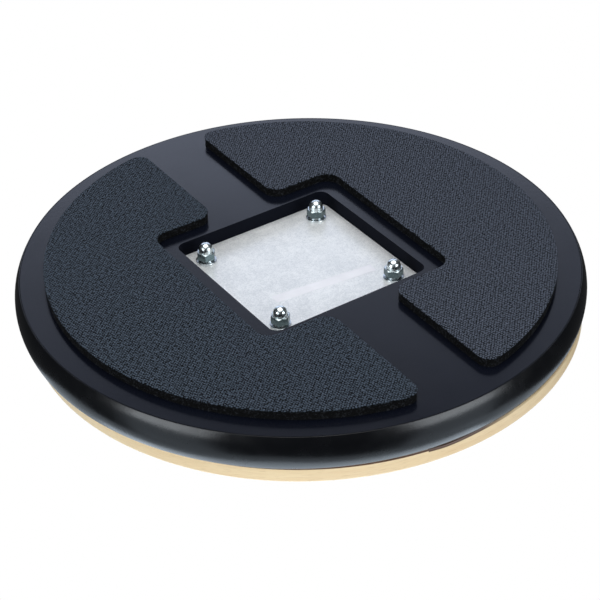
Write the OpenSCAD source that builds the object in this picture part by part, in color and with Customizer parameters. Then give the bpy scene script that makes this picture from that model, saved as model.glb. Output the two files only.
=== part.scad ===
// Round drummer's practice pad, 14 inch size.
// It stands in use: the playing surface faces +Z and the two foam pads lie on the floor, z = 0.
// X points across the channel between the foam pads, Y along it, and Z is the base's centre line.

/* [Base] */
// Largest diameter of the base, over the bulge of its edge trim
base_d = 355.6; // [320:0.1:380]
// Thickness of the base board
base_h = 21.5; // [19:0.1:30]
// Width of the square recess in the underside
recess_w = 113.5; // [90:0.5:136]
// Corner radius of the recess
recess_r = 6.2; // [2:0.1:12]

/* [Edge trim] */
// Radius of the bulge of the trim, seen in section
side_r = 22; // [18:0.5:40]
// Height of the trim's widest line above the underside
widest_h = 12; // [9:0.5:14]
// Thickness of the trim's lip where it meets the underside
trim_lip = 0.8; // [0.4:0.1:2]
// Thickness of the tongue that holds the trim in the board
tongue_t = 2.4; // [1.6:0.1:4]
// Depth of the tongue in the board
tongue_l = 10; // [6:0.5:16]
// Space left behind the tongue at the bottom of its slot
slot_gap = 0.6; // [0.2:0.1:2]

/* [Centre plate] */
// Depth of the plate's visible face below the underside
plate_depth = 9.6; // [6:0.1:12]
// Thickness of the steel plate
plate_t = 1.6; // [1:0.1:3]
// Gap between the plate and the walls of the recess
plate_gap = 0.4; // [0.2:0.1:1]
// Length of the blank label
label_l = 70; // [40:1:74]
// Width of the blank label
label_w = 7.4; // [4:0.1:12]
// Thickness of the blank label
label_t = 0.15; // [0.1:0.05:0.4]
// Distance of the label's middle from the plate's middle, along +Y
label_y = 21; // [10:0.5:25]
// Distance of the label's middle from the plate's middle, along +X
label_x = 3.8; // [-8:0.1:8]
// Slant of the label against the plate's edge, in degrees
label_slant = 6; // [-10:0.5:10]

/* [Fasteners] */
// Distance of each screw from the walls of the recess
screw_inset = 14.6; // [12:0.1:20]
// Distance of the screws' square from the base's centre, along -Y
screw_shift = 1.3; // [0:0.1:3]
// Diameter of the four screws
screw_d = 4.8; // [4:0.1:6]
// Diameter of the screws' countersunk heads
head_d = 9.6; // [8:0.1:12]
// Height of the screws' countersunk heads
head_h = 2.7; // [2:0.1:4]
// Length of screw that is threaded into each nut
thread_l = 6.2; // [4:0.1:7]
// Radial clearance of the holes that the screws pass through
hole_gap = 0.25; // [0.1:0.05:0.6]
// Diameter of the flat washers
washer_d = 13.2; // [11:0.1:16]
// Thickness of the flat washers
washer_t = 1.2; // [0.8:0.1:2]
// Diameter of the split lock washers
lock_d = 9.6; // [8:0.1:10.8]
// Thickness of the split lock washers
lock_t = 1.4; // [1:0.1:2]
// Width of the split in each lock washer
lock_split = 0.9; // [0.5:0.1:1.5]
// Size of the dome nuts across their flats
nut_af = 10.6; // [9:0.1:12]
// Height of the nuts' hexagon
hex_h = 4.8; // [3:0.1:6]
// Height of the nuts over all
nut_h = 10.6; // [9.5:0.1:11]
// Diameter of the nuts' dome
dome_d = 9; // [7.5:0.1:9.5]

/* [Foam pads] */
// Thickness of each foam pad, with its fabric facing
pad_t = 6.3; // [5:0.1:10]
// Thickness of the fabric facing
facing_t = 0.8; // [0.4:0.1:1.5]
// Width of the channel between the two pads
channel_w = 44.9; // [30:0.1:60]
// Distance of the pads' round side in from the board's edge
pad_inset = 12.5; // [8:0.1:25]
// Distance by which each pad's round side is drawn towards the centre line
pad_draw_in = 2.7; // [0:0.1:6]
// Gap between the recess and the pads' notch, across the channel
notch_side_gap = 11.5; // [6:0.1:20]
// Gap between the recess and the pads' notch, along the channel
notch_end_gap = 9.2; // [6:0.1:20]
// Corner radius of the pads
pad_corner_r = 10; // [4:0.5:14]
// Angle by which the pads are laid out of square with the recess, in degrees
pad_skew = 0.6; // [-2:0.1:2]

/* [Hoop and playing surface] */
// Height of the maple hoop above the base
hoop_h = 11.3; // [8:0.1:16]
// Width of the hoop, from its outside to its inside
hoop_w = 14; // [10:0.5:25]
// Radius on the hoop's two top edges
hoop_edge_r = 1.6; // [0.5:0.1:3]
// Distance of the hoop's centre from the base's centre, along +X
hoop_x = 1.7; // [-2:0.1:2]
// Distance of the hoop's centre from the base's centre, along +Y
hoop_y = 2.1; // [-2:0.1:2.2]
// Thickness of the rubber playing surface
rubber_t = 6.4; // [4:0.1:7.5]
// Gap between the rubber and the hoop
rubber_gap = 0.3; // [0.1:0.05:1]

/* [Hidden] */
CORNERS = [[-1, 1], [1, 1], [-1, -1], [1, -1]];
$fn = 96;

// How far the trim bulges past its own lips, and the radius of the board inside it
bulge_drop = max(widest_h, base_h - widest_h);
bulge = side_r - sqrt(side_r * side_r - bulge_drop * bulge_drop);
board_r = base_d / 2 - bulge - trim_lip;

// Heights above the floor
board_z = pad_t;
top_z = board_z + base_h;
plate_z = board_z + plate_depth;
recess_z = plate_z + plate_t;
washer_z = plate_z - washer_t;
lock_z = washer_z - lock_t;

plate_w = recess_w - 2 * plate_gap;
screw_at = recess_w / 2 - screw_inset;
hole_r = screw_d / 2 + hole_gap;
rubber_r = board_r - hoop_w - rubber_gap;

pad_arc_r = board_r - pad_inset;
notch_x = recess_w / 2 + notch_side_gap;
notch_y = recess_w / 2 + notch_end_gap;

// A cut runs this far past the faces it opens
past = 1;

module rounded_square(w, r) {
    square([w - 2 * r, w], center = true);
    square([w, w - 2 * r], center = true);
    for (c = CORNERS) translate(c * (w / 2 - r)) circle(r = r);
}

module washer(od, id, t) {
    difference() {
        cylinder(d = od, h = t);
        translate([0, 0, -past]) cylinder(d = id, h = t + 2 * past);
    }
}

// Moves a fastener to screw number i
module at_screw(i, z) {
    translate([CORNERS[i][0] * screw_at, CORNERS[i][1] * screw_at - screw_shift, z]) children();
}

module playing_surface() {
    color("#3b3b3d") translate([hoop_x, hoop_y, top_z]) cylinder(r = rubber_r, h = rubber_t, $fn = 180);
}

// Plain below, with both top edges rounded over
module hoop_profile() {
    translate([board_r - hoop_w, 0]) {
        square([hoop_w, hoop_h - hoop_edge_r]);
        translate([hoop_edge_r, 0]) square([hoop_w - 2 * hoop_edge_r, hoop_h]);
        for (x = [hoop_edge_r, hoop_w - hoop_edge_r])
            translate([x, hoop_h - hoop_edge_r]) circle(r = hoop_edge_r);
    }
}

module maple_hoop() {
    color("#e8d5a6") translate([hoop_x, hoop_y, top_z]) rotate_extrude($fn = 180) hoop_profile();
}

module base_board() {
    color("#2c2d35") difference() {
        translate([0, 0, board_z]) cylinder(r = board_r, h = base_h, $fn = 180);
        translate([0, 0, board_z + (base_h - tongue_t) / 2]) rotate_extrude($fn = 180)
            translate([board_r - tongue_l - slot_gap, 0]) square([tongue_l + slot_gap + past, tongue_t]);
        translate([0, 0, board_z - past]) linear_extrude(plate_depth + plate_t + past)
            rounded_square(recess_w, recess_r);
        for (i = [0:3]) {
            at_screw(i, board_z) cylinder(r = hole_r, h = base_h + past);
            at_screw(i, top_z - head_h) cylinder(d1 = screw_d, d2 = head_d, h = head_h);
            at_screw(i, top_z) cylinder(d = head_d, h = past);
        }
    }
}

// A ring with a bulging face, held by a tongue that is pressed into the board's edge
module edge_trim() {
    color("#16171b") translate([0, 0, board_z]) rotate_extrude($fn = 180) {
        intersection() {
            translate([board_r, 0]) square([side_r, base_h]);
            translate([base_d / 2 - side_r, widest_h]) circle(r = side_r, $fn = 180);
        }
        translate([board_r - tongue_l, (base_h - tongue_t) / 2]) square([tongue_l + trim_lip, tongue_t]);
    }
}

module centre_plate() {
    color("#d7dee4") difference() {
        translate([0, 0, plate_z]) linear_extrude(plate_t) rounded_square(plate_w, recess_r - plate_gap);
        for (i = [0:3]) at_screw(i, plate_z - past) cylinder(r = hole_r, h = plate_t + 2 * past);
    }
}

module plate_label() {
    color("#ece9f0") translate([label_x, label_y, plate_z - label_t / 2]) rotate([0, 0, label_slant])
        cube([label_l, label_w, label_t], center = true);
}

// The outline of the pad on the +X side: a segment of a circle with a notch round the recess
module pad_outline() {
    offset(r = pad_corner_r) offset(r = -2 * pad_corner_r) offset(r = pad_corner_r) difference() {
        translate([-pad_draw_in, 0]) circle(r = pad_arc_r, $fn = 180);
        translate([channel_w / 2 - base_d, -base_d]) square([base_d, 2 * base_d]);
        translate([-notch_x, -notch_y]) square([2 * notch_x, 2 * notch_y]);
    }
}

// One flat layer of a pad; side is 1 for the right pad and -1 for the left
module pad_layer(side, z, t) {
    translate([0, 0, z]) rotate([0, 0, pad_skew + (side > 0 ? 0 : 180)]) linear_extrude(t)
        pad_outline($fn = 64);
}

module foam_pad(side) {
    color("#141519") pad_layer(side, facing_t, pad_t - facing_t);
}

module pad_facing(side) {
    color("#2a2e38") pad_layer(side, 0, facing_t);
}

// Countersunk from above, with a cross recess, and screwed into a dome nut below the plate
module plate_screw(i) {
    cross = [head_d * 0.55, head_h * 0.35];
    color("#b9bec4") at_screw(i, 0) difference() {
        union() {
            translate([0, 0, lock_z - thread_l]) cylinder(d = screw_d, h = top_z - head_h - lock_z + thread_l);
            translate([0, 0, top_z - head_h]) cylinder(d1 = screw_d, d2 = head_d, h = head_h);
        }
        for (a = [45, 135]) translate([0, 0, top_z]) rotate([0, 0, a])
            cube([cross[0], cross[1], head_h], center = true);
    }
}

module flat_washer(i) {
    color("#c9d2d6") at_screw(i, washer_z) washer(washer_d, screw_d + 2 * hole_gap, washer_t);
}

module lock_washer(i) {
    color("#b4bec3") at_screw(i, lock_z) difference() {
        washer(lock_d, screw_d + 2 * hole_gap, lock_t);
        translate([0, -lock_split / 2, -past]) cube([lock_d, lock_split, lock_t + 2 * past]);
    }
}

// A hexagon with its lower corners turned off, and a closed dome over the screw's end
module dome_nut(i) {
    corner_r = nut_af / sqrt(3);
    chamfer = corner_r - nut_af / 2;
    color("#dfe7ea") at_screw(i, lock_z) mirror([0, 0, 1]) difference() {
        union() {
            intersection() {
                rotate([0, 0, 15 + 25 * i]) cylinder(r = corner_r, h = hex_h, $fn = 6);
                cylinder(r1 = corner_r + hex_h - chamfer, r2 = nut_af / 2, h = hex_h);
            }
            cylinder(d = dome_d, h = nut_h - dome_d / 2);
            translate([0, 0, nut_h - dome_d / 2]) sphere(d = dome_d);
        }
        translate([0, 0, -past]) cylinder(d = screw_d, h = thread_l + 2 * past);
    }
}

playing_surface();
maple_hoop();
base_board();
edge_trim();
centre_plate();
plate_label();
foam_pad(-1);  // left_foam_pad
foam_pad(1);  // right_foam_pad
pad_facing(-1);  // left_pad_facing
pad_facing(1);  // right_pad_facing
for (i = [0:3]) {
    plate_screw(i);
    flat_washer(i);
    lock_washer(i);
    dome_nut(i);
}
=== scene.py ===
# %% [markdown]
# # A drummer's practice pad, seen from below
#
# The pad is a black round base with a maple hoop and a rubber playing surface on top. Underneath it has a
# square recess with a bright steel plate, four dome nuts, and two foam pads to stand on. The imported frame
# gives every part its size and place. This file gives the parts their finish, and it remodels those whose
# edges, cells or joints are finer than the frame's plain solids.

# %% Load the frame
import math

import bmesh
import bpy
from mathutils import Matrix, Vector, noise


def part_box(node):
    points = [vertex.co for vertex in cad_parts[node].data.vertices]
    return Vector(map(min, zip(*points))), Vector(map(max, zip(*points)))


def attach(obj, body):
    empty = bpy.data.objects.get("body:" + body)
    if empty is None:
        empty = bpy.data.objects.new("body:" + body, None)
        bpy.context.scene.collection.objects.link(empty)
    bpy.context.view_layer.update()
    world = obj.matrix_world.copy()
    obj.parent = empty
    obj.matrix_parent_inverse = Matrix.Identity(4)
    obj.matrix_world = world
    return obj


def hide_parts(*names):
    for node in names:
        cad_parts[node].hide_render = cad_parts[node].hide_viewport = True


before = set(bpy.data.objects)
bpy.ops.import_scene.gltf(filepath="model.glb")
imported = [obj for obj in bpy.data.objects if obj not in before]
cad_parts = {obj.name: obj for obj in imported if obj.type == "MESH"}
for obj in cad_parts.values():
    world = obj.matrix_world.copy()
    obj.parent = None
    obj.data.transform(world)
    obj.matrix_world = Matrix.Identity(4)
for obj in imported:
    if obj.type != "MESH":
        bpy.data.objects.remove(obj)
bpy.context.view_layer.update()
MM = 0.001

# %% [markdown]
# ## The sizes that everything shares
#
# A box round a node tells where its faces are. The base's underside, its top and the middle of the hoop are
# read from the frame, so a piece that is remodelled here lands where its plain solid was.

# %% Read the levels and radii
def middle_of(low, high):
    """The middle of a box, as seen from above."""
    return Vector(((low.x + high.x) / 2, (low.y + high.y) / 2, 0))


def radius_of(low, high):
    """The radius of a round piece that fills its box."""
    return (high.x - low.x) / 2


board_low, board_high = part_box("base_board")
hoop_low, hoop_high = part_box("maple_hoop")
rubber_low, rubber_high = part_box("playing_surface")
plate_low, plate_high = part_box("centre_plate")

underside = board_low.z
base_top = board_high.z
board_r = radius_of(board_low, board_high)
trim_r = radius_of(*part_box("edge_trim"))
hoop_r = radius_of(hoop_low, hoop_high)
rubber_r = radius_of(rubber_low, rubber_high)
hoop_middle = middle_of(hoop_low, hoop_high)
print(f"underside at {underside:.4f} m, board radius {board_r:.4f} m, hoop radius {hoop_r:.4f} m")

# %% [markdown]
# ## The camera
#
# The pad is shown from below, as when it is turned over to look at its feet. The camera stands at one side
# of the channel between the foam pads, about 35 degrees below the level of the base, and far off with a long
# lens, so that the round base is only a little wider at the near side. Here its place is worked out from
# three angles and a distance, and its own up direction points at the floor's far side: the picture is upside
# down against the world, which is why the camera gets a full set of axes and not only a target.

# %% Place the camera
VIEW_TILT = math.radians(35.49)
VIEW_TURN = math.radians(33.31)
VIEW_ROLL = math.radians(-1.62)
VIEW_DISTANCE = 1.0983
VIEW_RISE = -0.0267
LENS = 105.84


def set_axes(tilt, turn):
    """The right, up and backward axes of a camera that looks at the underside."""
    right = Vector((math.cos(turn), math.sin(turn), 0))
    inward = Vector((math.sin(turn), -math.cos(turn), 0))
    up = inward * math.sin(tilt) - Vector((0, 0, math.cos(tilt)))
    back = -inward * math.cos(tilt) - Vector((0, 0, math.sin(tilt)))
    return right, up, back


def rolled(right, up, roll):
    """The same two axes, turned about the line of sight."""
    return (right * math.cos(roll) + up * math.sin(roll), up * math.cos(roll) - right * math.sin(roll))


flat_right, flat_up, back = set_axes(VIEW_TILT, VIEW_TURN)
right, up = rolled(flat_right, flat_up, VIEW_ROLL)
target = Vector((0, 0, underside)) + up * VIEW_RISE
camera_data = bpy.data.cameras.new("camera")
camera_data.lens = LENS
camera = bpy.data.objects.new("camera", camera_data)
camera.matrix_world = Matrix.Translation(target + back * VIEW_DISTANCE) @ Matrix(
    (right, up, back)).transposed().to_4x4()
bpy.context.scene.collection.objects.link(camera)
bpy.context.scene.camera = camera
print("camera at", [round(c, 3) for c in camera.location])

# %% [markdown]
# ## Lamps, world and floor
#
# Black lacquer and plated steel show little colour of their own: they show what stands round them. So the
# light comes from large soft panels, and each is there for one reflection. Three stand behind the pad, one
# over the other and each weaker, so the grey sheen on the lacquer fades without an edge. Two stand left and
# right of the camera and draw the short bright streaks under the rim, and their dim tails carry the streaks
# down the moulding. One hangs over the playing side with a weaker surround, one lies under the feet, and a
# warm fill that isn't reflected lights the maple. The panels are hidden from the camera. They are placed by
# their direction as seen from the camera's side: azimuth 0 is towards the camera, and height counts from
# the base's plane towards the side that the feet are on.


# %% Hang the panels
def panel(name, azimuth, height, distance, size, radiance, colour):
    """A soft panel that faces the pad; radiance is how bright its face is."""
    turn = math.radians(azimuth)
    rise = math.radians(height)
    level = (-flat_right.cross(Vector((0, 0, 1)))).normalized()
    towards = -level if level.dot(back) < 0 else level
    place = (towards * math.cos(turn) + flat_right * math.sin(turn)) * math.cos(rise)
    place = (place - Vector((0, 0, math.sin(rise)))) * distance + Vector((0, 0, underside))
    light = bpy.data.lights.new(name, "AREA")
    light.shape = "RECTANGLE"
    light.size, light.size_y = size
    light.energy = radiance * math.pi * size[0] * size[1]
    light.color = colour
    lamp = bpy.data.objects.new(name, light)
    lamp.location = place
    lamp.rotation_euler = (Vector((0, 0, underside)) - place).to_track_quat("-Z", "Y").to_euler()
    lamp.visible_camera = False
    bpy.context.scene.collection.objects.link(lamp)
    return lamp


WARM = (1.0, 0.93, 0.84)
NEUTRAL = (0.97, 0.98, 1.0)
CLEAR = (0.90, 0.95, 1.0)
COOL = (0.76, 0.88, 1.0)
BLUISH = (0.71, 0.79, 1.0)

# each line gives azimuth, height, distance, size, radiance and colour
panel("back_panel", 184, 14, 1.7, (2.1, 1.0), 1.5, BLUISH)
panel("back_panel_edge", 184, 35, 1.7, (1.9, 0.3), 0.6, BLUISH)
panel("back_panel_rim", 184, 43, 1.7, (1.7, 0.2), 0.2, BLUISH)
for name, azimuth in (("left", -48), ("right", 53)):
    panel(f"{name}_streak", azimuth, 16, 1.5, (0.82, 0.8), 4.8, CLEAR)
    panel(f"{name}_streak_tail", azimuth, -16, 1.5, (0.82, 1.3), 0.9, COOL)
panel("under_panel", 0, 90, 1.4, (1.5, 1.5), 2.9, NEUTRAL)
panel("top_panel", 0, -90, 1.4, (1.7, 1.7), 1.85, COOL)
panel("top_surround", 0, -90, 1.3, (3.0, 3.0), 0.75, COOL)
wood_fill = panel("wood_fill", 0, -30, 1.6, (1.9, 0.9), 1.9, WARM)
wood_fill.visible_glossy = False
print("panels:", len(bpy.data.lights))

# %% [markdown]
# The camera sees a plain white surround, while the pad itself is lit by a dim one: a Light Path node in the
# world tells the two apart. The floor is pale and catches the pad's shadow, and it gives off a little light
# of its own, so that its far parts stay as even as the near ones. It is clear from below, so the main view
# looks through it at the feet, and it doesn't block the panel under it.

# %% World and floor
SURROUND_TINT = (0.93, 0.96, 1.0, 1)
SURROUND_STRENGTH = 0.045
FLOOR_REACH = 6.0
FLOOR_GREY = (0.42, 0.42, 0.42, 1)
FLOOR_GLOW = (0.92, 0.94, 0.96, 1)
FLOOR_GLOW_STRENGTH = 0.5


def build_world():
    world = bpy.data.worlds.new("surround")
    world.use_nodes = True
    nodes, links = world.node_tree.nodes, world.node_tree.links
    nodes.clear()
    path = nodes.new("ShaderNodeLightPath")
    seen = nodes.new("ShaderNodeBackground")
    seen.inputs["Color"].default_value = (1, 1, 1, 1)
    dim = nodes.new("ShaderNodeBackground")
    dim.inputs["Color"].default_value = SURROUND_TINT
    dim.inputs["Strength"].default_value = SURROUND_STRENGTH
    mix = nodes.new("ShaderNodeMixShader")
    out = nodes.new("ShaderNodeOutputWorld")
    links.new(path.outputs["Is Camera Ray"], mix.inputs["Fac"])
    links.new(dim.outputs["Background"], mix.inputs[1])
    links.new(seen.outputs["Background"], mix.inputs[2])
    links.new(mix.outputs["Shader"], out.inputs["Surface"])
    bpy.context.scene.world = world


def build_floor():
    mesh = bpy.data.meshes.new("floor")
    bm = bmesh.new()
    bmesh.ops.create_grid(bm, x_segments=1, y_segments=1, size=FLOOR_REACH)
    bm.to_mesh(mesh)
    bm.free()
    floor = bpy.data.objects.new("floor", mesh)
    bpy.context.scene.collection.objects.link(floor)
    material = bpy.data.materials.new("pale_floor")
    material.use_nodes = True
    nodes, links = material.node_tree.nodes, material.node_tree.links
    paper = nodes["Principled BSDF"]
    paper.inputs["Base Color"].default_value = FLOOR_GREY
    paper.inputs["Emission Color"].default_value = FLOOR_GLOW
    paper.inputs["Emission Strength"].default_value = FLOOR_GLOW_STRENGTH
    paper.inputs["Roughness"].default_value = 0.9
    clear = nodes.new("ShaderNodeBsdfTransparent")
    side = nodes.new("ShaderNodeNewGeometry")
    mix = nodes.new("ShaderNodeMixShader")
    links.new(side.outputs["Backfacing"], mix.inputs["Fac"])
    links.new(paper.outputs["BSDF"], mix.inputs[1])
    links.new(clear.outputs["BSDF"], mix.inputs[2])
    links.new(mix.outputs["Shader"], nodes["Material Output"].inputs["Surface"])
    mesh.materials.append(material)
    floor.visible_shadow = False
    floor.visible_diffuse = False
    floor.visible_glossy = False


build_world()
build_floor()
bpy.context.scene.view_settings.view_transform = "Standard"
print("world and floor:", bpy.context.scene.world.name, bpy.data.materials["pale_floor"].name)

# %% [markdown]
# ## Small tools for nodes
#
# Every finish below is a Principled BSDF with a few patterns feeding it. Patterns that more than one finish
# uses are node groups, built once. These helpers only make the wiring short to read.


# %% Wiring helpers
def plug(tree, source, socket):
    """Plugs a socket or a number into an input."""
    if isinstance(source, bpy.types.NodeSocket):
        tree.links.new(source, socket)
    else:
        socket.default_value = source


def maths(tree, operation, *sources):
    """One step of arithmetic on sockets or numbers."""
    node = tree.nodes.new("ShaderNodeMath")
    node.operation = operation
    for source, socket in zip(sources, node.inputs):
        plug(tree, source, socket)
    return node.outputs["Value"]


def mix_values(tree, share, first, second):
    """This share of the first value and the rest of the second."""
    return maths(tree, "MULTIPLY_ADD", first, share, maths(tree, "MULTIPLY", second, 1 - share))


def remap(tree, source, low, high, new_low, new_high):
    node = tree.nodes.new("ShaderNodeMapRange")
    for name, item in (("Value", source), ("From Min", low), ("From Max", high),
                       ("To Min", new_low), ("To Max", new_high)):
        plug(tree, item, node.inputs[name])
    return node.outputs["Result"]


def blend_colours(tree, amount, first, second):
    node = tree.nodes.new("ShaderNodeMix")
    node.data_type = "RGBA"
    plug(tree, amount, node.inputs["Factor"])
    plug(tree, first, node.inputs["A"])
    plug(tree, second, node.inputs["B"])
    return node.outputs["Result"]


def noise_of(tree, where, scale, detail=2.0, roughness=0.5):
    node = tree.nodes.new("ShaderNodeTexNoise")
    plug(tree, where, node.inputs["Vector"])
    plug(tree, scale, node.inputs["Scale"])
    node.inputs["Detail"].default_value = detail
    node.inputs["Roughness"].default_value = roughness
    return node.outputs["Fac"]


def place_of(tree):
    """Where a point is on the pad, in metres."""
    return tree.nodes.new("ShaderNodeTexCoord").outputs["Object"]


def stretched(tree, where, scale=(1, 1, 1), move=(0, 0, 0), turn=(0, 0, 0)):
    node = tree.nodes.new("ShaderNodeMapping")
    plug(tree, where, node.inputs["Vector"])
    node.inputs["Location"].default_value = move
    node.inputs["Rotation"].default_value = turn
    node.inputs["Scale"].default_value = scale
    return node.outputs["Vector"]


def bump(tree, height, distance, strength=1.0):
    node = tree.nodes.new("ShaderNodeBump")
    plug(tree, height, node.inputs["Height"])
    node.inputs["Distance"].default_value = distance
    node.inputs["Strength"].default_value = strength
    return node.outputs["Normal"]


def new_group(name, inputs, outputs):
    """An empty node group with named float inputs (and their first values) and outputs (and their kinds)."""
    group = bpy.data.node_groups.new(name, "ShaderNodeTree")
    for label, first in inputs.items():
        socket = group.interface.new_socket(name=label, in_out="INPUT", socket_type="NodeSocketFloat")
        socket.default_value = first
    for label, kind in outputs.items():
        group.interface.new_socket(name=label, in_out="OUTPUT", socket_type=kind)
    return group, group.nodes.new("NodeGroupInput").outputs, group.nodes.new("NodeGroupOutput").inputs


def use_group(tree, group, **values):
    node = tree.nodes.new("ShaderNodeGroup")
    node.node_tree = group
    for label, value in values.items():
        plug(tree, value, node.inputs[label])
    return node.outputs


def new_material(name):
    material = bpy.data.materials.new(name)
    material.use_nodes = True
    return material, material.node_tree, material.node_tree.nodes["Principled BSDF"]


# %% [markdown]
# ## Patterns shared by several finishes
#
# *Mottle* is soft cloudy variation, for gloss that isn't quite even. *Grit* is a fine stipple for moulded
# rubber, sprayed lacquer and rolled steel. *Dust* is a thin scatter of pale specks. Each group reads Object
# coordinates inside, so it sticks to the part from every side.

# %% Mottle, grit and dust groups
FLOAT = "NodeSocketFloat"
COARSER = 0.31
FINE_SHARE = 0.65
SPECK_SCALE = 260.0
SPECK_SIZE = 0.09
SPECK_PATCHES = 45.0


def build_mottle():
    group, given, result = new_group(
        "mottle", {"Scale": 30.0, "Low": 0.0, "High": 1.0}, {"Value": FLOAT})
    cloud = noise_of(group, place_of(group), given["Scale"], detail=4.0, roughness=0.6)
    group.links.new(remap(group, cloud, 0.3, 0.7, given["Low"], given["High"]), result["Value"])
    return group


def build_grit():
    group, given, result = new_group("grit", {"Scale": 1500.0}, {"Height": FLOAT, "Tone": FLOAT})
    where = place_of(group)
    fine = noise_of(group, where, given["Scale"], detail=1.0)
    coarse = noise_of(group, where, maths(group, "MULTIPLY", given["Scale"], COARSER))
    both = mix_values(group, FINE_SHARE, fine, coarse)
    group.links.new(both, result["Height"])
    group.links.new(remap(group, both, 0.35, 0.65, 0.0, 1.0), result["Tone"])
    return group


def build_dust():
    group, given, result = new_group("dust", {"Amount": 0.1}, {"Mask": FLOAT})
    cells = group.nodes.new("ShaderNodeTexVoronoi")
    group.links.new(place_of(group), cells.inputs["Vector"])
    cells.inputs["Scale"].default_value = SPECK_SCALE
    speck = remap(group, cells.outputs["Distance"], 0.0, SPECK_SIZE, 1.0, 0.0)
    patchy = remap(group, noise_of(group, place_of(group), SPECK_PATCHES), 0.5, 0.75, 0.0, 1.0)
    scattered = maths(group, "MULTIPLY", speck, patchy)
    group.links.new(maths(group, "MULTIPLY", scattered, given["Amount"]), result["Mask"])
    return group


mottle, grit, dust = build_mottle(), build_grit(), build_dust()
print("pattern groups:", mottle.name, grit.name, dust.name)

# %% [markdown]
# ## Black finishes
#
# The board is sprayed with satin black lacquer. Its own colour is nearly nothing, and its grey comes from
# the panels behind it, so the roughness matters most: about a fifth gives a blurred mirror in which the feet
# still show. The lacquer hardly covers the milled walls of the recess, so there it is dull, and a mask worked
# out from the plate's size says where that is. The trim is moulded plastic.

# %% Lacquer and trim plastic
RECESS_CLEARANCE = 0.5 * MM
RECESS_BLUR = 0.1 * MM
WALL_STARTS = 0.02 * MM
WALL_IS_FULL = 0.06 * MM
BARE_ROUGHNESS = 0.75
BARE_SPECULAR = 0.06
LACQUER_DARK = (0.0024, 0.0032, 0.0070, 1)
LACQUER_LIGHT = (0.0038, 0.0050, 0.0098, 1)
LACQUER_DUST = (0.25, 0.25, 0.26, 1)
TRIM_BLACK = (0.0015, 0.0018, 0.0026, 1)
TRIM_DUST = (0.2, 0.2, 0.21, 1)


def recess_mask(tree):
    """1 inside the square recess and 0 outside it."""
    split = tree.nodes.new("ShaderNodeSeparateXYZ")
    tree.links.new(place_of(tree), split.inputs["Vector"])
    far = maths(tree, "MAXIMUM", maths(tree, "ABSOLUTE", split.outputs["X"]),
                maths(tree, "ABSOLUTE", split.outputs["Y"]))
    wall = plate_high.x + RECESS_CLEARANCE
    across = remap(tree, far, wall, wall + RECESS_BLUR, 1.0, 0.0)
    deep = remap(tree, split.outputs["Z"], underside + WALL_STARTS, underside + WALL_IS_FULL, 0.0, 1.0)
    return maths(tree, "MULTIPLY", across, deep)


def lacquer_finish():
    material, tree, bsdf = new_material("satin_black_lacquer")
    speck = use_group(tree, dust, Amount=0.10)["Mask"]
    tone = use_group(tree, mottle, Scale=9.0, Low=0.0, High=1.0)["Value"]
    colour = blend_colours(tree, tone, LACQUER_DARK, LACQUER_LIGHT)
    tree.links.new(blend_colours(tree, speck, colour, LACQUER_DUST), bsdf.inputs["Base Color"])
    peel = use_group(tree, grit, Scale=420.0)["Height"]
    tree.links.new(bump(tree, peel, 0.04 * MM, strength=0.5), bsdf.inputs["Normal"])
    bsdf.inputs["IOR"].default_value = 1.5
    in_recess = recess_mask(tree)
    gloss = use_group(tree, mottle, Scale=26.0, Low=0.15, High=0.21)["Value"]
    tree.links.new(remap(tree, in_recess, 0.0, 1.0, gloss, BARE_ROUGHNESS), bsdf.inputs["Roughness"])
    specular = remap(tree, in_recess, 0.0, 1.0, 0.5, BARE_SPECULAR)
    tree.links.new(specular, bsdf.inputs["Specular IOR Level"])
    return material


def trim_finish():
    material, tree, bsdf = new_material("black_trim_plastic")
    speck = use_group(tree, dust, Amount=0.06)["Mask"]
    tree.links.new(blend_colours(tree, speck, TRIM_BLACK, TRIM_DUST), bsdf.inputs["Base Color"])
    gloss = use_group(tree, mottle, Scale=60.0, Low=0.20, High=0.30)["Value"]
    tree.links.new(gloss, bsdf.inputs["Roughness"])
    skin = use_group(tree, grit, Scale=900.0)["Height"]
    tree.links.new(bump(tree, skin, 0.06 * MM, strength=0.6), bsdf.inputs["Normal"])
    bsdf.inputs["IOR"].default_value = 1.5
    return material


lacquer, trim_plastic = lacquer_finish(), trim_finish()
print("black finishes:", lacquer.name, trim_plastic.name)

# %% [markdown]
# ## Maple
#
# The hoop is bent from a maple strip, so its grain runs round it. The pattern therefore follows the angle
# round the hoop and not X or Y: an arctangent turns a point's place into that angle, and the angle is
# squeezed, which draws the pattern out lengthwise. Where the angle jumps from half a turn to minus half a
# turn the pattern breaks, and the hoop is turned so that this falls on its glued joint. The foot of the
# strip, where it meets the black base, is painted dark as the shade in the gap there, and an attribute of
# the mesh called "foot_shade" says where and how strongly.

# %% Maple finish
JOINT_ANGLE = math.radians(101)
GRAIN_SQUEEZE = 0.010
BAND_SCALE = 240.0
FIBRE_SCALE = 1300.0
PORE_SCALE = 2600.0
MAPLE_PALE = (0.84, 0.66, 0.39, 1)
MAPLE_BAND = (0.79, 0.58, 0.32, 1)
MAPLE_FIBRE = (0.62, 0.43, 0.22, 1)
MAPLE_FIGURE = (0.93, 0.80, 0.58, 1)
MAPLE_PORE = (0.45, 0.28, 0.13, 1)
MAPLE_FOOT_SHADE = (0.085, 0.032, 0.010, 1)


def hoop_place(tree):
    """The angle round the hoop, which jumps at the joint, and the radius and the height in metres."""
    centred = stretched(tree, place_of(tree), move=tuple(-hoop_middle))
    spun = stretched(tree, centred, turn=(0, 0, math.pi - JOINT_ANGLE))
    split = tree.nodes.new("ShaderNodeSeparateXYZ")
    tree.links.new(spun, split.inputs["Vector"])
    x, y, z = split.outputs
    angle = maths(tree, "ARCTAN2", y, x)
    squares = [maths(tree, "MULTIPLY", side, side) for side in (x, y)]
    radius = maths(tree, "SQRT", maths(tree, "ADD", *squares))
    return angle, radius, z


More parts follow.
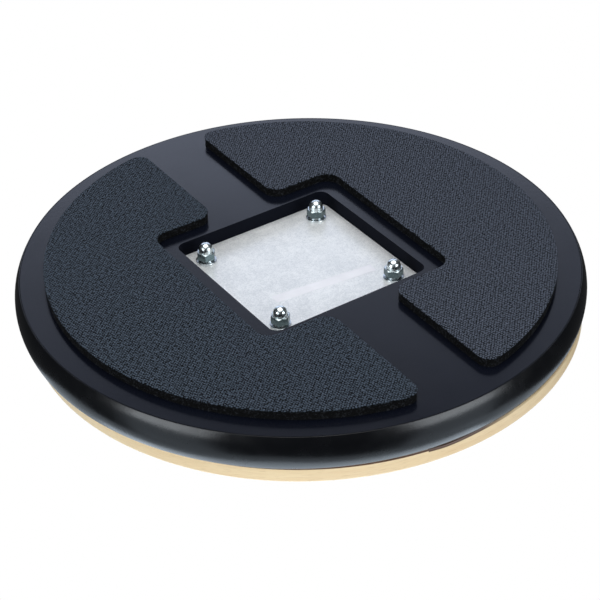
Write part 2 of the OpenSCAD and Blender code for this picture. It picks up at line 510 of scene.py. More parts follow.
def maple_finish():
    material, tree, bsdf = new_material("lacquered_maple")
    angle, radius, height = hoop_place(tree)
    joined = tree.nodes.new("ShaderNodeCombineXYZ")
    plug(tree, maths(tree, "MULTIPLY", angle, GRAIN_SQUEEZE), joined.inputs["X"])
    plug(tree, radius, joined.inputs["Y"])
    plug(tree, height, joined.inputs["Z"])
    along = joined.outputs["Vector"]
    bands = noise_of(tree, along, BAND_SCALE, detail=3.0, roughness=0.55)
    fibres = noise_of(tree, along, FIBRE_SCALE, roughness=0.6)
    pores = remap(tree, noise_of(tree, along, PORE_SCALE, detail=0.0), 0.60, 0.72, 0.0, 1.0)
    cloud = use_group(tree, mottle, Scale=16.0, Low=0.0, High=1.0)["Value"]
    banded = blend_colours(tree, remap(tree, bands, 0.35, 0.65, 0.0, 1.0), MAPLE_PALE, MAPLE_BAND)
    streaked = blend_colours(tree, maths(tree, "MULTIPLY", fibres, 0.22), banded, MAPLE_FIBRE)
    figured = blend_colours(tree, maths(tree, "MULTIPLY", cloud, 0.16), streaked, MAPLE_FIGURE)
    dotted = blend_colours(tree, maths(tree, "MULTIPLY", pores, 0.25), figured, MAPLE_PORE)
    # painted shade: the strip's foot is darkened where it meets the base and shade falls in the gap
    foot_shade = tree.nodes.new("ShaderNodeAttribute")
    foot_shade.attribute_name = "foot_shade"
    foot_shaded = blend_colours(tree, foot_shade.outputs["Fac"], dotted, MAPLE_FOOT_SHADE)
    tree.links.new(foot_shaded, bsdf.inputs["Base Color"])
    tree.links.new(remap(tree, fibres, 0.3, 0.7, 0.34, 0.46), bsdf.inputs["Roughness"])
    tree.links.new(bump(tree, fibres, 0.05 * MM, strength=0.6), bsdf.inputs["Normal"])
    bsdf.inputs["Coat Weight"].default_value = 0.25
    bsdf.inputs["Coat Roughness"].default_value = 0.22
    return material


maple = maple_finish()
print("wood finish:", maple.name)

# %% [markdown]
# ## Steel and chrome
#
# The plate is bright zinc: a pale metal with a faint rolled grain and a cloudy bloom. The bloom scatters so
# much light that the sheet looks nearly white from every side, so it's only part metallic. The nuts' domes
# are polished. Their flats get a painted darker colour that stands in for the dark reflections they show,
# and an attribute called "flats" tells the finish where they are. The washers and screws are plain bright
# steel, and a little smoother.

# %% Metal finishes
ROLLED_STRETCH = (1, 7, 1)
ROLLED_TURN = (0, 0, 0.2)
ROLLED_SCALE = 420.0
ZINC_DARK = (0.72, 0.74, 0.74, 1)
ZINC_LIGHT = (0.92, 0.93, 0.92, 1)
NUT_BRIGHT = (0.82, 0.90, 0.91, 1)
NUT_FLATS_SHADE = (0.15, 0.20, 0.21, 1)
WASHER_BRIGHT = (0.78, 0.83, 0.85, 1)
DULL_SHARE = 0.86


def plate_finish():
    material, tree, bsdf = new_material("zinc_plated_sheet")
    lengthwise = stretched(tree, place_of(tree), scale=ROLLED_STRETCH, turn=ROLLED_TURN)
    rolled_grain = noise_of(tree, lengthwise, ROLLED_SCALE)
    bloom = use_group(tree, mottle, Scale=55.0, Low=0.0, High=1.0)["Value"]
    speckle = use_group(tree, grit, Scale=1300.0)["Tone"]
    grain_tone = mix_values(tree, 0.6, rolled_grain, bloom)
    colour_tone = mix_values(tree, 0.45, speckle, grain_tone)
    colour = blend_colours(tree, remap(tree, colour_tone, 0.3, 0.7, 0.0, 1.0), ZINC_DARK, ZINC_LIGHT)
    tree.links.new(colour, bsdf.inputs["Base Color"])
    tree.links.new(remap(tree, grain_tone, 0.3, 0.7, 0.30, 0.40), bsdf.inputs["Roughness"])
    tree.links.new(bump(tree, rolled_grain, 0.03 * MM, strength=0.4), bsdf.inputs["Normal"])
    bsdf.inputs["Metallic"].default_value = 0.4
    return material


def polished_finish(name, colour, smooth, rough):
    material, tree, bsdf = new_material(name)
    tone = use_group(tree, mottle, Scale=300.0, Low=0.0, High=1.0)["Value"]
    darker = tuple(part * DULL_SHARE for part in colour[:3]) + (1,)
    flats = tree.nodes.new("ShaderNodeAttribute")
    flats.attribute_name = "flats"
    polished = blend_colours(tree, tone, darker, colour)
    # painted shade: the hex flats are coloured dark in place of the dark reflections they show
    tree.links.new(blend_colours(tree, flats.outputs["Fac"], polished, NUT_FLATS_SHADE), bsdf.inputs["Base Color"])
    gloss = use_group(tree, mottle, Scale=500.0, Low=smooth, High=rough)["Value"]
    tree.links.new(gloss, bsdf.inputs["Roughness"])
    bsdf.inputs["Metallic"].default_value = 1.0
    return material


zinc_sheet = plate_finish()
chrome = polished_finish("polished_nut", NUT_BRIGHT, 0.22, 0.32)
bright_steel = polished_finish("bright_washer_steel", WASHER_BRIGHT, 0.16, 0.28)
print("metal finishes:", zinc_sheet.name, chrome.name, bright_steel.name)

# %% [markdown]
# ## Rubber, foam, knit and label
#
# The playing surface is matt rubber with a fine stipple, rubbed a little smoother and greyer in the middle
# where the sticks land. The foam's cut sides show open cells: a cell pattern paints the pores near black, as
# the shade inside them, and the rims between keep the foam's own dark colour.
# The knit on its face is rows of small loops, and every second row is set off by half a loop.

# %% Rubber finish
WORN_MIDDLE = 35 * MM
WORN_REACH = 85 * MM
WORN_WAVER = 12 * MM
RUBBER_DARK = (0.026, 0.026, 0.028, 1)
RUBBER_LIGHT = (0.040, 0.040, 0.042, 1)
RUBBER_WORN = (0.062, 0.061, 0.062, 1)
RUBBER_DUST = (0.3, 0.3, 0.3, 1)


def rubber_finish():
    material, tree, bsdf = new_material("stippled_rubber")
    flat = stretched(tree, place_of(tree), scale=(1, 1, 0), move=tuple(-hoop_middle))
    length = tree.nodes.new("ShaderNodeVectorMath")
    length.operation = "LENGTH"
    tree.links.new(flat, length.inputs[0])
    cloud = use_group(tree, mottle, Scale=40.0, Low=-WORN_WAVER, High=WORN_WAVER)["Value"]
    reach = maths(tree, "ADD", length.outputs["Value"], cloud)
    worn = remap(tree, reach, WORN_MIDDLE, WORN_REACH, 1.0, 0.0)
    tone = use_group(tree, grit, Scale=900.0)["Tone"]
    fresh = blend_colours(tree, tone, RUBBER_DARK, RUBBER_LIGHT)
    rubbed = blend_colours(tree, maths(tree, "MULTIPLY", worn, 0.22), fresh, RUBBER_WORN)
    speck = use_group(tree, dust, Amount=0.12)["Mask"]
    tree.links.new(blend_colours(tree, speck, rubbed, RUBBER_DUST), bsdf.inputs["Base Color"])
    tree.links.new(remap(tree, worn, 0.0, 1.0, 0.72, 0.64), bsdf.inputs["Roughness"])
    stipple = use_group(tree, grit, Scale=1100.0)["Height"]
    tree.links.new(bump(tree, stipple, 0.25 * MM, strength=0.7), bsdf.inputs["Normal"])
    return material


# %% Foam finish
CELL_SCALE = 640.0
PATCH_SCALE = 600.0
FOAM_PORE_SHADE = (0.0006, 0.0007, 0.0010, 1)
FOAM_CELL_RIM = (0.022, 0.024, 0.028, 1)


def foam_finish():
    material, tree, bsdf = new_material("open_cell_foam")
    cells = tree.nodes.new("ShaderNodeTexVoronoi")
    cells.feature = "DISTANCE_TO_EDGE"
    cells.inputs["Scale"].default_value = CELL_SCALE
    tree.links.new(place_of(tree), cells.inputs["Vector"])
    walls = remap(tree, cells.outputs["Distance"], 0.02, 0.22, 1.0, 0.0)
    patchy = noise_of(tree, place_of(tree), PATCH_SCALE, detail=1.0)
    # painted shade: the pores are near black as the shade inside the cells; the rims keep the foam's colour
    rims_showing = maths(tree, "MULTIPLY", walls, remap(tree, patchy, 0.50, 0.64, 0.0, 1.0))
    tree.links.new(blend_colours(tree, rims_showing, FOAM_PORE_SHADE, FOAM_CELL_RIM), bsdf.inputs["Base Color"])
    tree.links.new(bump(tree, walls, 0.4 * MM), bsdf.inputs["Normal"])
    bsdf.inputs["Roughness"].default_value = 0.95
    bsdf.inputs["Specular IOR Level"].default_value = 0.2
    return material


# %% [markdown]
# A loop of the knit is 1.7 mm wide and 1.5 mm high. Two sine waves make the rows and the loops in them, and a
# little noise bends both, because a machine knit is never quite straight. The group gives a height for the
# bump and a tone for the colour. The tone is partly uneven yarn and partly painted shade: it follows the
# height, so the low gaps between the loops are painted dark. Each pad has its own slant of the rows and its
# own fineness of the uneven tone, because no two pieces of a knit look quite alike, and the right pad's pale
# yarn is lighter than the left's.

# %% Knit group and facing finish
LOOP_WIDTH = 1.7 * MM
LOOP_HEIGHT = 1.5 * MM
LOOP_ROUNDNESS = 0.7
DRIFT = (1.2 * MM, 1.2 * MM, 0)
DRIFT_SCALE = 130.0
FUZZ_SCALE = 2600.0
FUZZ_SHARE = 0.35
ROWS_BELOW = 1000.0
YARN_DARK_AND_GAP_SHADE = (0.0002, 0.0004, 0.0007, 1)
SHEEN_TINT = (0.7, 0.8, 1.0, 1)


def build_knit():
    group, given, result = new_group("knit", {"Turn": 0.0, "Uneven": 740.0}, {"Height": FLOAT, "Tone": FLOAT})
    where = place_of(group)
    spin = group.nodes.new("ShaderNodeVectorRotate")
    spin.rotation_type = "Z_AXIS"
    group.links.new(where, spin.inputs["Vector"])
    group.links.new(given["Turn"], spin.inputs["Angle"])
    drift = group.nodes.new("ShaderNodeTexNoise")
    drift.inputs["Scale"].default_value = DRIFT_SCALE
    group.links.new(where, drift.inputs["Vector"])
    shift = group.nodes.new("ShaderNodeVectorMath")
    shift.operation = "MULTIPLY_ADD"
    group.links.new(drift.outputs["Color"], shift.inputs[0])
    shift.inputs[1].default_value = DRIFT
    group.links.new(spin.outputs["Vector"], shift.inputs[2])
    split = group.nodes.new("ShaderNodeSeparateXYZ")
    group.links.new(shift.outputs["Vector"], split.inputs["Vector"])
    row = maths(group, "DIVIDE", split.outputs["Y"], LOOP_HEIGHT)
    # the rows are counted from far below, so that no row's number is negative
    odd = maths(group, "MODULO", maths(group, "FLOOR", maths(group, "ADD", row, ROWS_BELOW)), 2.0)
    column = maths(group, "MULTIPLY_ADD", odd, 0.5, maths(group, "DIVIDE", split.outputs["X"], LOOP_WIDTH))
    across = maths(group, "ABSOLUTE", maths(group, "SINE", maths(group, "MULTIPLY", column, math.pi)))
    upright = maths(group, "ABSOLUTE", maths(group, "SINE", maths(group, "MULTIPLY", row, math.pi)))
    loops = maths(group, "POWER", maths(group, "MULTIPLY", across, upright), LOOP_ROUNDNESS)
    fuzz = noise_of(group, where, FUZZ_SCALE)
    height = mix_values(group, FUZZ_SHARE, fuzz, loops)
    group.links.new(height, result["Height"])
    uneven = noise_of(group, where, given["Uneven"])
    # painted shade: the tone follows the loops' height, so the gaps between loops are dark; the noise is
    # uneven yarn
    tone = maths(group, "MULTIPLY_ADD", uneven, 0.8, maths(group, "MULTIPLY", height, 0.5))
    group.links.new(tone, result["Tone"])
    return group


def facing_finish(name, turn, uneven, pale):
    material, tree, bsdf = new_material(name)
    knitted = use_group(tree, knit, Turn=turn, Uneven=uneven)
    tone = remap(tree, knitted["Tone"], 0.56, 0.75, 0.0, 1.0)
    yarn = blend_colours(tree, tone, YARN_DARK_AND_GAP_SHADE, pale)
    tree.links.new(yarn, bsdf.inputs["Base Color"])
    tree.links.new(bump(tree, knitted["Height"], 0.5 * MM), bsdf.inputs["Normal"])
    bsdf.inputs["Roughness"].default_value = 0.9
    bsdf.inputs["Sheen Weight"].default_value = 0.03
    bsdf.inputs["Sheen Roughness"].default_value = 0.5
    bsdf.inputs["Sheen Tint"].default_value = SHEEN_TINT
    bsdf.inputs["Specular IOR Level"].default_value = 0.12
    return material


# %% Label finish
FILM_DARK = (0.76, 0.76, 0.79, 1)
FILM_LIGHT = (0.84, 0.84, 0.87, 1)


def label_finish():
    material, tree, bsdf = new_material("blank_label_film")
    tone = use_group(tree, mottle, Scale=90.0, Low=0.0, High=1.0)["Value"]
    tree.links.new(blend_colours(tree, tone, FILM_DARK, FILM_LIGHT), bsdf.inputs["Base Color"])
    gloss = use_group(tree, mottle, Scale=200.0, Low=0.30, High=0.42)["Value"]
    tree.links.new(gloss, bsdf.inputs["Roughness"])
    return material


rubber, foam, label_film = rubber_finish(), foam_finish(), label_finish()
knit = build_knit()
left_knit = facing_finish("left_pad_knit", -0.34, 600.0, (0.056, 0.073, 0.097, 1))
right_knit = facing_finish("right_pad_knit", -0.25, 740.0, (0.080, 0.093, 0.122, 1))
print("finishes:", len(bpy.data.materials))

# %% [markdown]
# ## Small tools for meshes
#
# Most of the pad is round, so most pieces are an outline spun about an upright line. An outline is drawn as
# one flat face, its corners are rounded by a vertex bevel while it is flat, and then its edges are spun. That
# is shorter and cleaner than bevelling hundreds of edges afterwards, and every ring gets the same corner.

# %% Mesh helpers
FULL_TURN = 2 * math.pi
RIM_STEPS = 360


def outline(bm, points):
    """Draws a flat face in the XZ plane with these corners."""
    bm.faces.new([bm.verts.new((x, 0, z)) for x, z in points])


def round_at(bm, places, radius, segments=5):
    """Rounds the outline's corners nearest these places."""
    chosen = {min(bm.verts, key=lambda vert: (vert.co - Vector((x, 0, z))).length) for x, z in places}
    bmesh.ops.bevel(bm, geom=list(chosen), offset=radius, segments=segments, profile=0.5,
                    affect="VERTICES", material=-1)


def spin_outline(bm, steps, angle=FULL_TURN):
    """Sweeps the outline's edges about the Z axis, and closes the ends when it isn't a full turn."""
    full = angle >= FULL_TURN
    bmesh.ops.delete(bm, geom=bm.faces[:], context="FACES_ONLY")
    bmesh.ops.spin(bm, geom=bm.verts[:] + bm.edges[:], cent=(0, 0, 0), axis=(0, 0, 1), angle=angle,
                   steps=steps, use_merge=full)
    if not full:
        bmesh.ops.holes_fill(bm, edges=[edge for edge in bm.edges if edge.is_boundary], sides=0)


def turn_and_move(bm, turn, where):
    bmesh.ops.rotate(bm, verts=bm.verts, cent=(0, 0, 0), matrix=Matrix.Rotation(turn, 3, "Z"))
    bmesh.ops.translate(bm, verts=bm.verts, vec=where)


def make_piece(name, bm, material, stands_for, sharp=35):
    """Turns a finished bmesh into a piece that rides on the pad and stands for a node of the frame."""
    bmesh.ops.recalc_face_normals(bm, faces=bm.faces)
    mesh = bpy.data.meshes.new(name)
    bm.to_mesh(mesh)
    bm.free()
    mesh.shade_smooth()
    mesh.set_sharp_from_angle(angle=math.radians(sharp))
    mesh.materials.append(material)
    piece = bpy.data.objects.new(name, mesh)
    bpy.context.scene.collection.objects.link(piece)
    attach(piece, "root")
    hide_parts(stands_for)
    print(f"{name}: {len(mesh.polygons)} faces")
    return piece


def paint(nodes, material):
    """Gives nodes that are kept from the frame their finish."""
    for name in nodes:
        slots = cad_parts[name].data.materials
        slots.clear()
        slots.append(material)


# %% [markdown]
# ## Board, plate and screws
#
# The board is a flat disc with a square recess, and the plate is a flat sheet with four holes. Both are exact
# in the frame, so its meshes are kept. The screws are all but hidden between the playing surface and the
# nuts, and they stay as they are too.

# %% Paint what is kept from the frame
paint(["base_board"], lacquer)
paint(["centre_plate"], zinc_sheet)
paint([f"plate_screw_{i}" for i in range(1, 5)], bright_steel)

# %% [markdown]
# ## The edge trim
#
# A moulded band wraps the board's edge, bulging out between two thin lips, and a tongue on its back is
# pressed into a slot. The bulge is part of a circle, so one vertex spun about that circle's centre draws it.
# The two lips get a small radius, and the lower one stands a little off the board, which leaves a fine dark
# seam round the underside.

# %% Model the edge trim
TRIM_WIDEST = 12 * MM
TRIM_BULGE_R = 22 * MM
TONGUE_LENGTH = 10 * MM
TONGUE_THICK = 2.4 * MM
LIP_ROUND = 0.06 * MM
SEAM_WIDTH = 0.35 * MM
SEAM_DEPTH = 0.8 * MM
BULGE_STEPS = 24


def build_trim():
    bm = bmesh.new()
    below = math.asin(TRIM_WIDEST / TRIM_BULGE_R)
    above = math.asin((base_top - underside - TRIM_WIDEST) / TRIM_BULGE_R)
    centre = Vector((trim_r - TRIM_BULGE_R, 0, underside + TRIM_WIDEST))
    lip = bm.verts.new(centre + TRIM_BULGE_R * Vector((math.cos(below), 0, -math.sin(below))))
    bmesh.ops.spin(bm, geom=[lip], cent=centre, axis=(0, -1, 0), angle=below + above,
                   steps=BULGE_STEPS)
    bm.verts.ensure_lookup_table()
    bulge = bm.verts[:]
    ends = [(bulge[0].co.x, bulge[0].co.z), (bulge[-1].co.x, bulge[-1].co.z)]
    middle = (underside + base_top) / 2
    tongue_low, tongue_high = middle - TONGUE_THICK / 2, middle + TONGUE_THICK / 2
    back = [(board_r, base_top), (board_r, tongue_high), (board_r - TONGUE_LENGTH, tongue_high),
            (board_r - TONGUE_LENGTH, tongue_low), (board_r, tongue_low), (board_r, underside + SEAM_DEPTH),
            (board_r + SEAM_WIDTH, underside)]
    bm.faces.new(bulge + [bm.verts.new((x, 0, z)) for x, z in back])
    round_at(bm, ends, LIP_ROUND, segments=4)
    spin_outline(bm, RIM_STEPS)
    make_piece("trim_band", bm, trim_plastic, "edge_trim")


build_trim()

# %% [markdown]
# ## The maple hoop
#
# The hoop is a strip of maple bent into a ring, and its two ends are glued together. Beside the joint the
# strip hasn't quite come down on the base: a thin wedge of shadow starts at the joint and dies out a short
# way round. So the outline is spun from the joint almost all the way round, both ends are closed, and the
# lower face is raised a little near the end of the sweep. Above it the foot gets painted shade: a dark line
# beside the joint and on the joint's other side, which pales where the strip sits down well.

# %% Model the hoop
HOOP_WIDTH = 14 * MM
HOOP_TOP_ROUND = 1.6 * MM
HOOP_FOOT_ROUND = 1.0 * MM
HOOP_FOOT_SHADE_HEIGHT = 1.75 * MM
HOOP_FOOT_FADE = 0.35 * MM
JOINT_WIDTH = 0.03 * MM
WEDGE_LIFT = 1.3 * MM
WEDGE_AT_JOINT = 0.6

# in degrees round from the joint
WEDGE_RISE = 8
WEDGE_HOLD = 3
WEDGE_FADE = 7
SHADE_HOLD = 12
SHADE_FADE = 9
SHADE_RETURN = 150
SHADE_LOSS = 0.72


def wedge_lift(degrees):
    """How far the strip stands off the base, this many degrees round from the joint."""
    start = min(1.0, WEDGE_AT_JOINT + degrees / WEDGE_RISE)
    return WEDGE_LIFT * start * math.exp(-(max(degrees - WEDGE_HOLD, 0) / WEDGE_FADE) ** 2)


def foot_shade_strength(degrees):
    """How dark the foot's painted shade is, this many degrees round from the joint."""
    if degrees > SHADE_RETURN:
        return 1.0
    return 1.0 - SHADE_LOSS * min(1.0, max(0.0, (degrees - SHADE_HOLD) / SHADE_FADE))


def build_hoop():
    bm = bmesh.new()
    inside = hoop_r - HOOP_WIDTH
    shade_top = base_top + HOOP_FOOT_SHADE_HEIGHT
    fade_top = shade_top + HOOP_FOOT_FADE
    outline(bm, [(inside, base_top), (hoop_r, base_top), (hoop_r, shade_top), (hoop_r, fade_top),
                 (hoop_r, hoop_high.z), (inside, hoop_high.z)])
    round_at(bm, [(hoop_r, hoop_high.z), (inside, hoop_high.z)], HOOP_TOP_ROUND, segments=6)
    round_at(bm, [(hoop_r, base_top), (inside, base_top)], HOOP_FOOT_ROUND, segments=3)
    joint = JOINT_WIDTH / hoop_r
    spin_outline(bm, RIM_STEPS, FULL_TURN - joint)
    foot_shade = bm.verts.layers.float.new("foot_shade")
    for vert in bm.verts:
        past_joint = -math.atan2(vert.co.y, vert.co.x) % FULL_TURN
        degrees = math.degrees(past_joint)
        # the strip's lowest band gets painted shade, darkest beside the joint, for the shade in the gap under
        # it
        # half of the fade is room enough for rounding errors on either ring
        foot_shaded = vert.co.z < shade_top + HOOP_FOOT_FADE / 2
        vert[foot_shade] = foot_shade_strength(degrees) if foot_shaded else 0.0
        low_down = vert.co.z < fade_top + HOOP_FOOT_FADE / 2
        # the strip's other end, where the angle is nothing, stays down
        if low_down and past_joint > joint / 2:
            vert.co.z += wedge_lift(degrees)
    turn_and_move(bm, JOINT_ANGLE, hoop_middle)
    make_piece("bent_hoop", bm, maple, "maple_hoop")


build_hoop()

# %% [markdown]
# ## The playing surface
#
# A round sheet of dense rubber fills the hoop. Its cut edge is a little soft, and the gap between it and the
# wood is a fine dark ring. The disc is half an outline, from the middle to the edge, spun round.

# %% Model the playing surface
RUBBER_EDGE_ROUND = 0.7 * MM
RUBBER_STEPS = 240
WELD = 0.01 * MM


def build_rubber():
    bm = bmesh.new()
    outline(bm, [(0, rubber_low.z), (rubber_r, rubber_low.z), (rubber_r, rubber_high.z), (0, rubber_high.z)])
    round_at(bm, [(rubber_r, rubber_high.z)], RUBBER_EDGE_ROUND)
    on_axis = [edge for edge in bm.edges if all(vert.co.x == 0 for vert in edge.verts)]
    bmesh.ops.delete(bm, geom=on_axis, context="EDGES")
    spin_outline(bm, RUBBER_STEPS)
    bmesh.ops.remove_doubles(bm, verts=bm.verts, dist=WELD)
    turn_and_move(bm, 0, hoop_middle)
    make_piece("rubber_disc", bm, rubber, "playing_surface")


build_rubber()

# %% [markdown]
# ## The foam pads
#
# Two pieces of foam are die-cut from sheet and glued under the base: each is most of a half circle with a
# notch that keeps clear of the recess. The shape starts as a disc. Cuts with a plane take off the far side
# and part the disc along the notch's three sides, the faces in the notch are deleted, and what is left is
# dissolved into one face whose corners are rounded. The left pad is the right one turned half round.

# %% Cut a pad's outline
PAD_ROUND_R = board_r - 12.5 * MM
PAD_DRAWN_IN = 2.7 * MM
CHANNEL = 44.9 * MM
NOTCH_X = 68.25 * MM
NOTCH_Y = 65.95 * MM
PAD_CORNER = 10 * MM
PAD_SKEW = math.radians(0.6)
PAD_STEPS = 240
CORNER_STEPS = 12
TIP_ROOM = 1.6 * PAD_CORNER
NEARLY = 0.1 * MM
CUT_SLACK = 0.0001 * MM
STRAIGHT_WITHIN = 0.0001


def cut(bm, place, normal, clear=False):
    everything = bm.verts[:] + bm.edges[:] + bm.faces[:]
    bmesh.ops.bisect_plane(bm, geom=everything, dist=CUT_SLACK, plane_co=place, plane_no=normal,
                           clear_outer=clear)


def near(vert, places, reach):
    return min((vert.co - place).length for place in places) < reach


def is_straight(vert):
    """True for a point that only divides a straight line."""
    if len(vert.link_edges) != 2:
        return False
    first, second = (edge.other_vert(vert).co - vert.co for edge in vert.link_edges)
    return abs(first.angle(second) - math.pi) < STRAIGHT_WITHIN


def pad_face(bm):
    """One flat face in the shape of the pad on the +X side."""
    bmesh.ops.create_circle(bm, cap_ends=True, segments=PAD_STEPS, radius=PAD_ROUND_R)
    bmesh.ops.translate(bm, verts=bm.verts, vec=(-PAD_DRAWN_IN, 0, 0))
    cut(bm, (CHANNEL / 2, 0, 0), (-1, 0, 0), clear=True)
    cut(bm, (NOTCH_X, 0, 0), (1, 0, 0))
    for y in (-NOTCH_Y, NOTCH_Y):
        cut(bm, (0, y, 0), (0, 1, 0))
    middles = {face: face.calc_center_median() for face in bm.faces}
    inside = [face for face, middle in middles.items() if middle.x < NOTCH_X and abs(middle.y) < NOTCH_Y]
    bmesh.ops.delete(bm, geom=inside, context="FACES")
    bmesh.ops.dissolve_faces(bm, faces=bm.faces[:], use_verts=False)
    tip = math.sqrt(PAD_ROUND_R ** 2 - (CHANNEL / 2 + PAD_DRAWN_IN) ** 2)
    tips = [Vector((CHANNEL / 2, y, 0)) for y in (-tip, tip)]
    notch = [Vector((x, y, 0)) for x in (CHANNEL / 2, NOTCH_X) for y in (-NOTCH_Y, NOTCH_Y)]
    # the round edge's own points near a tip would leave its corner no room
    crowding = [v for v in bm.verts if v.co.x > CHANNEL / 2 + CUT_SLACK and near(v, tips, TIP_ROOM)]
    spare = [v for v in bm.verts if v in crowding or is_straight(v)]
    bmesh.ops.dissolve_verts(bm, verts=spare)
    corners = [v for v in bm.verts if near(v, tips + notch, NEARLY)]
    print("corners to round:", len(corners))
    bmesh.ops.bevel(bm, geom=corners, offset=PAD_CORNER, segments=CORNER_STEPS, profile=0.5,
                    affect="VERTICES", material=-1)
    return next(iter(bm.faces))


def lay_pad(bm, side):
    """Turns the outline to its own side of the base, which is +1 or -1."""
    turn_and_move(bm, PAD_SKEW + (0 if side > 0 else math.pi), (0, 0, 0))


def is_upright(edge):
    low_end, high_end = sorted(vert.co.z for vert in edge.verts)
    return high_end - low_end > NEARLY


def thicken(bm, height):
    """Raises a copy of the flat outline to this height, with walls all round."""
    made = bmesh.ops.extrude_face_region(bm, geom=bm.faces[:], use_keep_orig=True)["geom"]
    raised = [item for item in made if isinstance(item, bmesh.types.BMVert)]
    bmesh.ops.translate(bm, verts=raised, vec=(0, 0, height))


# %% [markdown]
# The foam's cut side is ragged with open cells. The walls are divided into small squares, and each point is
# pushed in by a repeatable noise, deeper in some places to leave torn cells. The finer cells are in the
# finish. The two faces that are glued stay flat, and at their edges the noise is held back.

# %% Model the foam
FOAM_COLUMN = 0.9 * MM
FOAM_ROWS = 6
CELL_DEPTH = 0.45 * MM
CELL_SPREAD = 900
TEAR_SPREAD = 420
TEAR_SHIFT = Vector((7, 3, 1))
TEAR_THRESHOLD = 0.25
CELL_SHARE = 0.4
SUNK_SHARE = 0.6
TEAR_SHARE = 1.6
EDGE_SHARE = 0.35


def divide_outline(bm):
    """Divides every edge of the outline into steps of about a column's width."""
    for edge in bm.edges[:]:
        cuts = int(edge.calc_length() / FOAM_COLUMN)
        if cuts:
            bmesh.ops.subdivide_edges(bm, edges=[edge], cuts=cuts)


def move_of(place):
    """How far a point of a cut wall moves outwards: less than nothing, so that the wall is sunk."""
    fine = noise.noise(place * CELL_SPREAD)
    torn = max(0.0, noise.noise(place * TEAR_SPREAD + TEAR_SHIFT) - TEAR_THRESHOLD)
    return CELL_DEPTH * (CELL_SHARE * fine - SUNK_SHARE - TEAR_SHARE * torn)


def build_foam(name, side):
    low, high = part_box(name)
    bm = bmesh.new()
    pad_face(bm)
    lay_pad(bm, side)
    divide_outline(bm)
    bmesh.ops.translate(bm, verts=bm.verts, vec=(0, 0, low.z))
    thicken(bm, high.z - low.z)
    upright = [edge for edge in bm.edges if is_upright(edge)]
    bmesh.ops.subdivide_edges(bm, edges=upright, cuts=FOAM_ROWS, use_grid_fill=True)
    bm.normal_update()
    moves = {}
    for vert in bm.verts:
        walls = [face.normal for face in vert.link_faces if abs(face.normal.z) < 0.5]
        if walls:
            at_edge = min(vert.co.z - low.z, high.z - vert.co.z) < NEARLY
            share = EDGE_SHARE if at_edge else 1.0
            moves[vert] = sum(walls, Vector()).normalized() * share * move_of(vert.co)
    for vert, move in moves.items():
        vert.co += move
    piece = make_piece(name.replace("_pad", "_slab"), bm, foam, name, sharp=60)
    return piece


left_foam = build_foam("left_foam_pad", -1)
right_foam = build_foam("right_foam_pad", 1)

# %% [markdown]
# A thin knit is glued over the foam's lower face, and it is what touches the floor. At its edge it dips a
# little towards the foam, as a cut knit does where the knife has pressed it. Two insets, the second one
# smaller, make that soft rim. Its flat size is that of the die that cuts it, and its area is measured from
# the outline.

# %% Model the facings
FACING_RIM = 0.7 * MM
FACING_DIP = 0.22 * MM
INSETS = (1.0, 0.6)


def build_facing(name, side, finish):
    low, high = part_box(name)
    bm = bmesh.new()
    area = pad_face(bm).calc_area()
    lay_pad(bm, side)
    rim_z = low.z + FACING_DIP * sum(INSETS)
    bmesh.ops.translate(bm, verts=bm.verts, vec=(0, 0, rim_z))
    thicken(bm, high.z - rim_z)
    bmesh.ops.recalc_face_normals(bm, faces=bm.faces)
    for share in INSETS:
        # only the cut outline itself has more than four corners
        down = [face for face in bm.faces if face.normal.z < 0 and len(face.verts) > 4]
        bmesh.ops.inset_individual(bm, faces=down, thickness=FACING_RIM * share, depth=FACING_DIP * share)
    piece = make_piece(name.replace("_pad_", "_knit_"), bm, finish, name, sharp=60)


build_facing("left_pad_facing", -1, left_knit)
build_facing("right_pad_facing", 1, right_knit)

# %% [markdown]
# ## The blank label
#
# A strip of pale film is stuck a little askew on the plate. It carries no print. A box with four rounded
# corners is all that it needs.

# %% Model the label
LABEL_SIZE = Vector((70 * MM, 7.4 * MM, 0.15 * MM))
LABEL_MIDDLE = Vector((3.8 * MM, 21 * MM, plate_low.z))
LABEL_SLANT = math.radians(6)
LABEL_CORNER = 0.9 * MM


def build_label():
    bm = bmesh.new()
    bmesh.ops.create_cube(bm, size=1.0)
    bmesh.ops.scale(bm, verts=bm.verts, vec=LABEL_SIZE)
    upright = [edge for edge in bm.edges if is_upright(edge)]
    bmesh.ops.bevel(bm, geom=upright, offset=LABEL_CORNER, segments=5, profile=0.5, affect="EDGES",
                    material=-1)
    turn_and_move(bm, LABEL_SLANT, LABEL_MIDDLE)
    make_piece("label_strip", bm, label_film, "plate_label")


build_label()

# %% [markdown]
# ## Washers
#
# Under each nut lie a flat washer and a split lock washer. Both are stamped, so their rims are slightly
# rounded. They are small, but they are the brightest rings in the recess, and a hard corner would show.

# %% Model the washers
SCREW_HOLE_R = 2.65 * MM
STAMPED_ROUND = 0.25 * MM
LOCK_SPLIT = 0.9 * MM
SMALL_RING_STEPS = 72


def build_washer(name, middle, split=0.0):
    """A washer round this place, with a cut through its rim of this width."""
    low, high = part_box(name)
    # the split is on the X side and makes the box narrower that way
    outer_r = (high.y - low.y) / 2 if split else radius_of(low, high)
    bm = bmesh.new()
    corners = [(SCREW_HOLE_R, low.z), (outer_r, low.z), (outer_r, high.z), (SCREW_HOLE_R, high.z)]
    outline(bm, corners)
    round_at(bm, corners, STAMPED_ROUND, segments=3)
    gap = split / outer_r
    spin_outline(bm, SMALL_RING_STEPS, FULL_TURN - gap)
    turn_and_move(bm, gap / 2, middle)
    make_piece(name.replace("_washer_", "_ring_"), bm, bright_steel, name)


screw_places = []
for i in range(1, 5):
    middle = middle_of(*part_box(f"flat_washer_{i}"))
    screw_places.append(middle)
    build_washer(f"flat_washer_{i}", middle)
    build_washer(f"lock_washer_{i}", middle, split=LOCK_SPLIT)

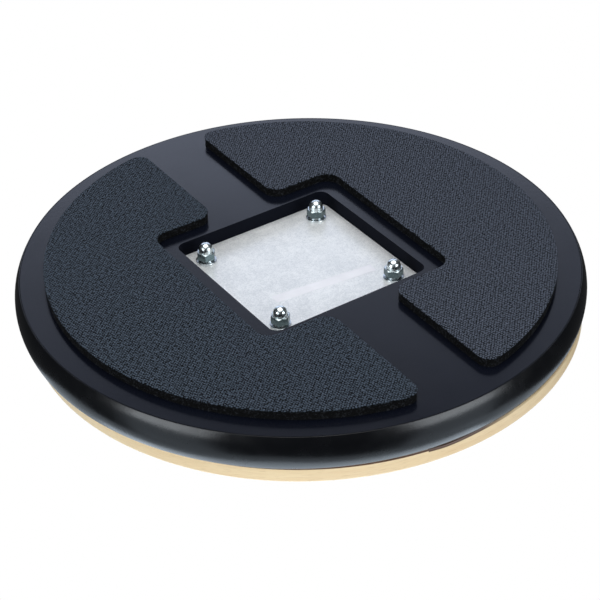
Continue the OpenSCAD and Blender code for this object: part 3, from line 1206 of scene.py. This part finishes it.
# %% [markdown]
# ## Dome nuts
#
# A dome nut is a short hexagon with a polished cap. Its hexagon's corners are turned off by a cone, which
# leaves a curved edge on each flat. To draw that, every ring has the same number of points, the hexagon's
# ring is pulled in to the six flats, and its points are lowered by how far they stick out past the flats.
# The rings are joined one to the next by bridging.

# %% Model the nuts
NUT_ACROSS = 10.6 * MM
NUT_HEX_HEIGHT = 4.8 * MM
NUT_HEIGHT = 10.6 * MM
NUT_DOME_R = 4.5 * MM
NUT_NECK = 0.2 * MM
NUT_CHAMFER = math.tan(math.radians(33))
NUT_BORE_SHARE = 0.6
NUT_TURNED_SHARE = 0.985
DOME_STEPS = 14
FLAT_ANGLE = math.radians(60)
FIRST_NUT_TURN = 15
NEXT_NUT_TURN = 25


def add_ring(bm, radius, depth, hexagon=False, chamfer=0.0):
    """A ring at this depth under the lock washer; a hexagon's points are drawn in to its flats."""
    ring = bmesh.ops.create_circle(bm, cap_ends=False, segments=SMALL_RING_STEPS, radius=radius)["verts"]
    for vert in ring:
        reach = radius
        if hexagon:
            turn = math.atan2(vert.co.y, vert.co.x) % FLAT_ANGLE
            reach = radius / math.cos(turn - FLAT_ANGLE / 2)
            vert.co *= reach / radius
        vert.co.z = -depth + (reach - radius) * chamfer
        vert[bm.verts.layers.float["flats"]] = float(hexagon)
    return list({edge for vert in ring for edge in vert.link_edges})


def build_nut(number, top, middle):
    bm = bmesh.new()
    bm.verts.layers.float.new("flats")
    flat_r = NUT_ACROSS / 2
    sphere_depth = NUT_HEIGHT - NUT_DOME_R
    rings = [
        add_ring(bm, flat_r * NUT_BORE_SHARE, 0.0),
        add_ring(bm, flat_r, 0.0, hexagon=True),
        add_ring(bm, flat_r, NUT_HEX_HEIGHT, hexagon=True, chamfer=NUT_CHAMFER),
        add_ring(bm, flat_r * NUT_TURNED_SHARE, NUT_HEX_HEIGHT),
        add_ring(bm, NUT_DOME_R + NUT_NECK, NUT_HEX_HEIGHT),
        add_ring(bm, NUT_DOME_R, NUT_HEX_HEIGHT + NUT_NECK),
        add_ring(bm, NUT_DOME_R, sphere_depth),
    ]
    for step in range(1, DOME_STEPS):
        lift = math.radians(step * 90 / DOME_STEPS)
        rings.append(add_ring(bm, NUT_DOME_R * math.cos(lift), sphere_depth + NUT_DOME_R * math.sin(lift)))
    for first, second in zip(rings, rings[1:]):
        bmesh.ops.bridge_loops(bm, edges=first + second)
    bmesh.ops.holes_fill(bm, edges=[edge for edge in bm.edges if edge.is_boundary], sides=0)
    turn = math.radians(FIRST_NUT_TURN + NEXT_NUT_TURN * (number - 1))
    turn_and_move(bm, turn, middle + Vector((0, 0, top)))
    make_piece(f"nut_cap_{number}", bm, chrome, f"dome_nut_{number}", sharp=28)


for number, middle in enumerate(screw_places, 1):
    build_nut(number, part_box(f"dome_nut_{number}")[1].z, middle)
